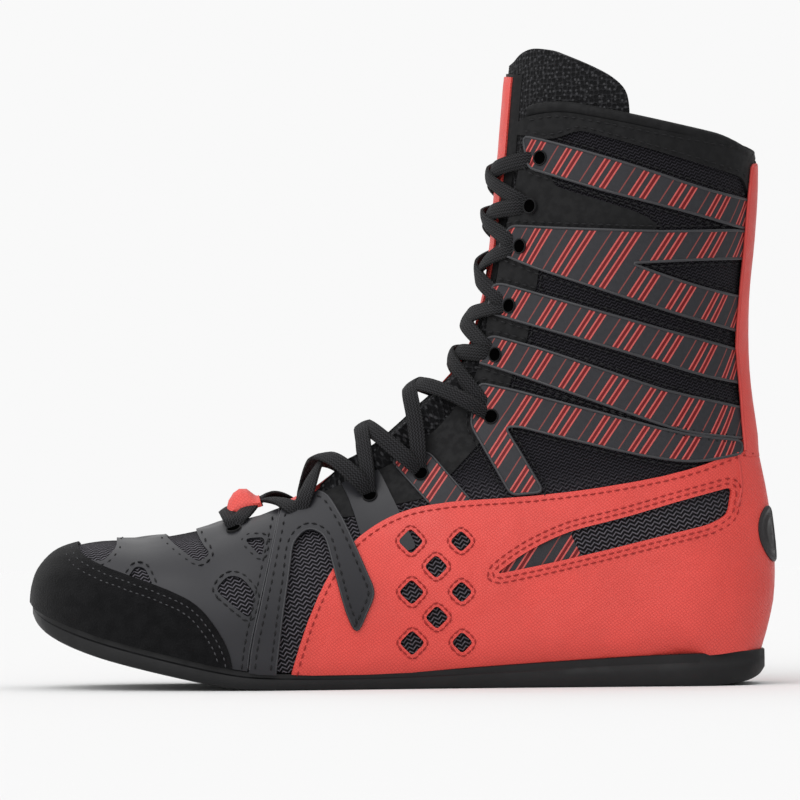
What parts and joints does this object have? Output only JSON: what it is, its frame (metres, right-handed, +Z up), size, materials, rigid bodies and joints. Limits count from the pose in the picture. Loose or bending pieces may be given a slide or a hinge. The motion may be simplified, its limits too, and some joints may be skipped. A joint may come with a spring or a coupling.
{
  "type": "wrestling shoe",
  "caption": "High lace-up wrestling shoe for the left foot: mesh upper with sewn-on panels, padded tongue, crossed laces and a thin rubber sole.",
  "frame": {"origin": "on the floor under the middle of the heel, on the heel's tread", "axes": "+X to the toe, +Y to the outer side of the left foot, +Z up"},
  "size_m": [0.2865, 0.0996, 0.2432],
  "materials": {
    "outsole_rubber": "satin black rubber",
    "lining_cloth": "plain black lining cloth",
    "upper_mesh": "black herringbone knit mesh",
    "tongue_mesh": "coarse black air mesh",
    "red_leather": "red leather with a small embossed scale grain",
    "black_suede": "black suede",
    "grey_synthetic": "smooth dark grey synthetic leather",
    "striped_band": "dark grey band printed with slanted red pinstripes",
    "black_microfibre": "smooth black microfibre",
    "badge_rubber": "dark moulded rubber, plain rings",
    "black_lace": "flat black woven lace"
  },
  "bodies": {
    "root": {"outsole": "outsole_rubber", "insole": "lining_cloth", "upper": "upper_mesh", "tongue": "tongue_mesh", "tongue_strip": "red_leather", "toe_cap": "black_suede", "vamp_overlay": "grey_synthetic", "instep_strap_outer": "grey_synthetic", "instep_strap_inner": "grey_synthetic", "quarter": "red_leather", "backstay": "red_leather", "shaft_band_1_outer": "striped_band", "shaft_band_2_outer": "striped_band", "shaft_band_3_outer": "striped_band", "shaft_band_4_outer": "striped_band", "shaft_band_5_outer": "striped_band", "shaft_band_1_inner": "striped_band", "shaft_band_2_inner": "striped_band", "shaft_band_3_inner": "striped_band", "shaft_band_4_inner": "striped_band", "shaft_band_5_inner": "striped_band", "collar_panel_outer": "black_microfibre", "collar_panel_inner": "black_microfibre", "collar_binding": "black_microfibre", "heel_badge": "badge_rubber", "lace_loop": "red_leather", "lace": "black_lace"}
  },
  "joints": []
}
